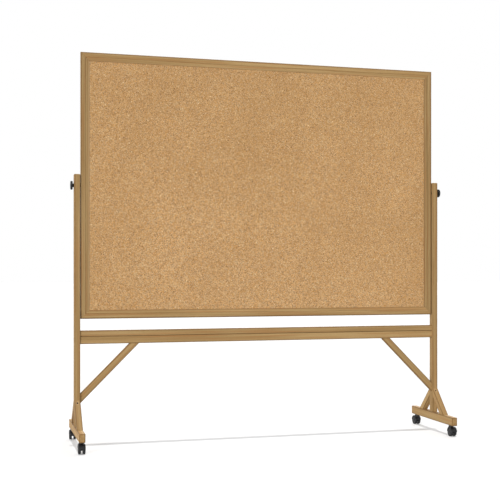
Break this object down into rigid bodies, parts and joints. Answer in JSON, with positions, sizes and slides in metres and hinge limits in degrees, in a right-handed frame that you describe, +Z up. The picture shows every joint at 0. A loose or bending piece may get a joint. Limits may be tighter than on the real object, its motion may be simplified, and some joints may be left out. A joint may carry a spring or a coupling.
{
  "type": "rolling cork bulletin board",
  "caption": "Wood-framed cork board that turns between the posts of a wooden stand with splayed foot braces, clamp knobs and twin-wheel casters.",
  "frame": {"origin": "on the floor, below the middle of the board", "axes": "+X to the right seen from the front, along the board; +Y towards the back; +Z up; the front cork faces -Y"},
  "size_m": [1.996, 0.501, 1.9553],
  "materials": {
    "frame_wood": "satin",
    "stand_wood": "satin",
    "cork": "matte",
    "core": "matte",
    "black_plastic": "satin",
    "wheel_plastic": "matte",
    "black_washer": "matte",
    "steel": "satin",
    "brass": "satin",
    "dark_steel": "satin"
  },
  "bodies": {
    "stand": {"post_left": "stand_wood", "post_right": "stand_wood", "stretcher_upper": "stand_wood", "stretcher_lower": "stand_wood", "diagonal_brace_left": "stand_wood", "diagonal_brace_right": "stand_wood", "foot_left": "stand_wood", "foot_right": "stand_wood", "foot_brace_front_left": "stand_wood", "foot_brace_back_left": "stand_wood", "foot_brace_front_right": "stand_wood", "foot_brace_back_right": "stand_wood", "foot_brace_screw_front_left": "dark_steel", "foot_brace_screw_back_left": "dark_steel", "foot_brace_screw_front_right": "dark_steel", "foot_brace_screw_back_right": "dark_steel", "stretcher_bolt_left": "dark_steel", "stretcher_bolt_right": "dark_steel", "caster_socket_front_left": "steel", "caster_socket_back_left": "steel", "caster_socket_front_right": "steel", "caster_socket_back_right": "steel"},
    "board": {"frame_top_rail": "frame_wood", "frame_bottom_rail": "frame_wood", "frame_left_stile": "frame_wood", "frame_right_stile": "frame_wood", "cork_sheet_front": "cork", "cork_sheet_back": "cork", "board_core": "core", "pivot_insert_left": "brass", "pivot_insert_right": "brass", "pivot_spacer_left": "black_washer", "pivot_spacer_right": "black_washer"},
    "washer_left": {"clamp_washer_left": "black_washer"},
    "washer_right": {"clamp_washer_right": "black_washer"},
    "knob_left": {"clamp_knob_left": "black_plastic", "clamp_stud_left": "steel"},
    "knob_right": {"clamp_knob_right": "black_plastic", "clamp_stud_right": "steel"},
    "caster_front_left": {"caster_stem_front_left": "steel", "caster_hood_front_left": "black_plastic", "caster_axle_front_left": "steel"},
    "caster_back_left": {"caster_stem_back_left": "steel", "caster_hood_back_left": "black_plastic", "caster_axle_back_left": "steel"},
    "caster_front_right": {"caster_stem_front_right": "steel", "caster_hood_front_right": "black_plastic", "caster_axle_front_right": "steel"},
    "caster_back_right": {"caster_stem_back_right": "steel", "caster_hood_back_right": "black_plastic", "caster_axle_back_right": "steel"},
    "wheel_front_left_left": {"caster_wheel_front_left_left": "wheel_plastic"},
    "wheel_front_left_right": {"caster_wheel_front_left_right": "wheel_plastic"},
    "wheel_back_left_left": {"caster_wheel_back_left_left": "wheel_plastic"},
    "wheel_back_left_right": {"caster_wheel_back_left_right": "wheel_plastic"},
    "wheel_front_right_left": {"caster_wheel_front_right_left": "wheel_plastic"},
    "wheel_front_right_right": {"caster_wheel_front_right_right": "wheel_plastic"},
    "wheel_back_right_left": {"caster_wheel_back_right_left": "wheel_plastic"},
    "wheel_back_right_right": {"caster_wheel_back_right_right": "wheel_plastic"}
  },
  "joints": [
    {"name": "board_flip", "type": "hinge", "parent": "stand", "child": "board", "pos_m": [0, 0, 1.29329], "axis": [1, 0, 0], "continuous": true},
    {"name": "clamp_slide_left", "type": "slide", "parent": "board", "child": "washer_left", "axis": [-1, 0, 0], "range_m": [0, 0.00187]},
    {"name": "clamp_slide_right", "type": "slide", "parent": "board", "child": "washer_right", "axis": [1, 0, 0], "range_m": [0, 0.00187]},
    {"name": "knob_turn_left", "type": "hinge", "parent": "washer_left", "child": "knob_left", "pos_m": [-0.982, 0, 1.29329], "axis": [-1, 0, 0], "range_deg": [0, 540]},
    {"name": "knob_turn_right", "type": "hinge", "parent": "washer_right", "child": "knob_right", "pos_m": [0.982, 0, 1.29329], "axis": [1, 0, 0], "range_deg": [0, 540]},
    {"name": "caster_swivel_front_left", "type": "hinge", "parent": "stand", "child": "caster_front_left", "pos_m": [-0.9665, -0.2085, 0.05649], "axis": [0, 0, 1], "continuous": true},
    {"name": "caster_swivel_back_left", "type": "hinge", "parent": "stand", "child": "caster_back_left", "pos_m": [-0.9665, 0.2085, 0.05649], "axis": [0, 0, 1], "continuous": true},
    {"name": "caster_swivel_front_right", "type": "hinge", "parent": "stand", "child": "caster_front_right", "pos_m": [0.9665, -0.2085, 0.05649], "axis": [0, 0, 1], "continuous": true},
    {"name": "caster_swivel_back_right", "type": "hinge", "parent": "stand", "child": "caster_back_right", "pos_m": [0.9665, 0.2085, 0.05649], "axis": [0, 0, 1], "continuous": true},
    {"name": "wheel_roll_front_left_left", "type": "hinge", "parent": "caster_front_left", "child": "wheel_front_left_left", "pos_m": [-0.9665, -0.22, 0.02239], "axis": [1, 0, 0], "continuous": true},
    {"name": "wheel_roll_front_left_right", "type": "hinge", "parent": "caster_front_left", "child": "wheel_front_left_right", "pos_m": [-0.9665, -0.22, 0.02239], "axis": [1, 0, 0], "continuous": true},
    {"name": "wheel_roll_back_left_left", "type": "hinge", "parent": "caster_back_left", "child": "wheel_back_left_left", "pos_m": [-0.9665, 0.22, 0.02239], "axis": [1, 0, 0], "continuous": true},
    {"name": "wheel_roll_back_left_right", "type": "hinge", "parent": "caster_back_left", "child": "wheel_back_left_right", "pos_m": [-0.9665, 0.22, 0.02239], "axis": [1, 0, 0], "continuous": true},
    {"name": "wheel_roll_front_right_left", "type": "hinge", "parent": "caster_front_right", "child": "wheel_front_right_left", "pos_m": [0.9665, -0.22, 0.02239], "axis": [1, 0, 0], "continuous": true},
    {"name": "wheel_roll_front_right_right", "type": "hinge", "parent": "caster_front_right", "child": "wheel_front_right_right", "pos_m": [0.9665, -0.22, 0.02239], "axis": [1, 0, 0], "continuous": true},
    {"name": "wheel_roll_back_right_left", "type": "hinge", "parent": "caster_back_right", "child": "wheel_back_right_left", "pos_m": [0.9665, 0.22, 0.02239], "axis": [1, 0, 0], "continuous": true},
    {"name": "wheel_roll_back_right_right", "type": "hinge", "parent": "caster_back_right", "child": "wheel_back_right_right", "pos_m": [0.9665, 0.22, 0.02239], "axis": [1, 0, 0], "continuous": true}
  ],
  "couplings": [
    {"joint": "knob_turn_left", "follows": "clamp_slide_left", "rad_per_m": 5026.5},
    {"joint": "knob_turn_right", "follows": "clamp_slide_right", "rad_per_m": 5026.5}
  ]
}
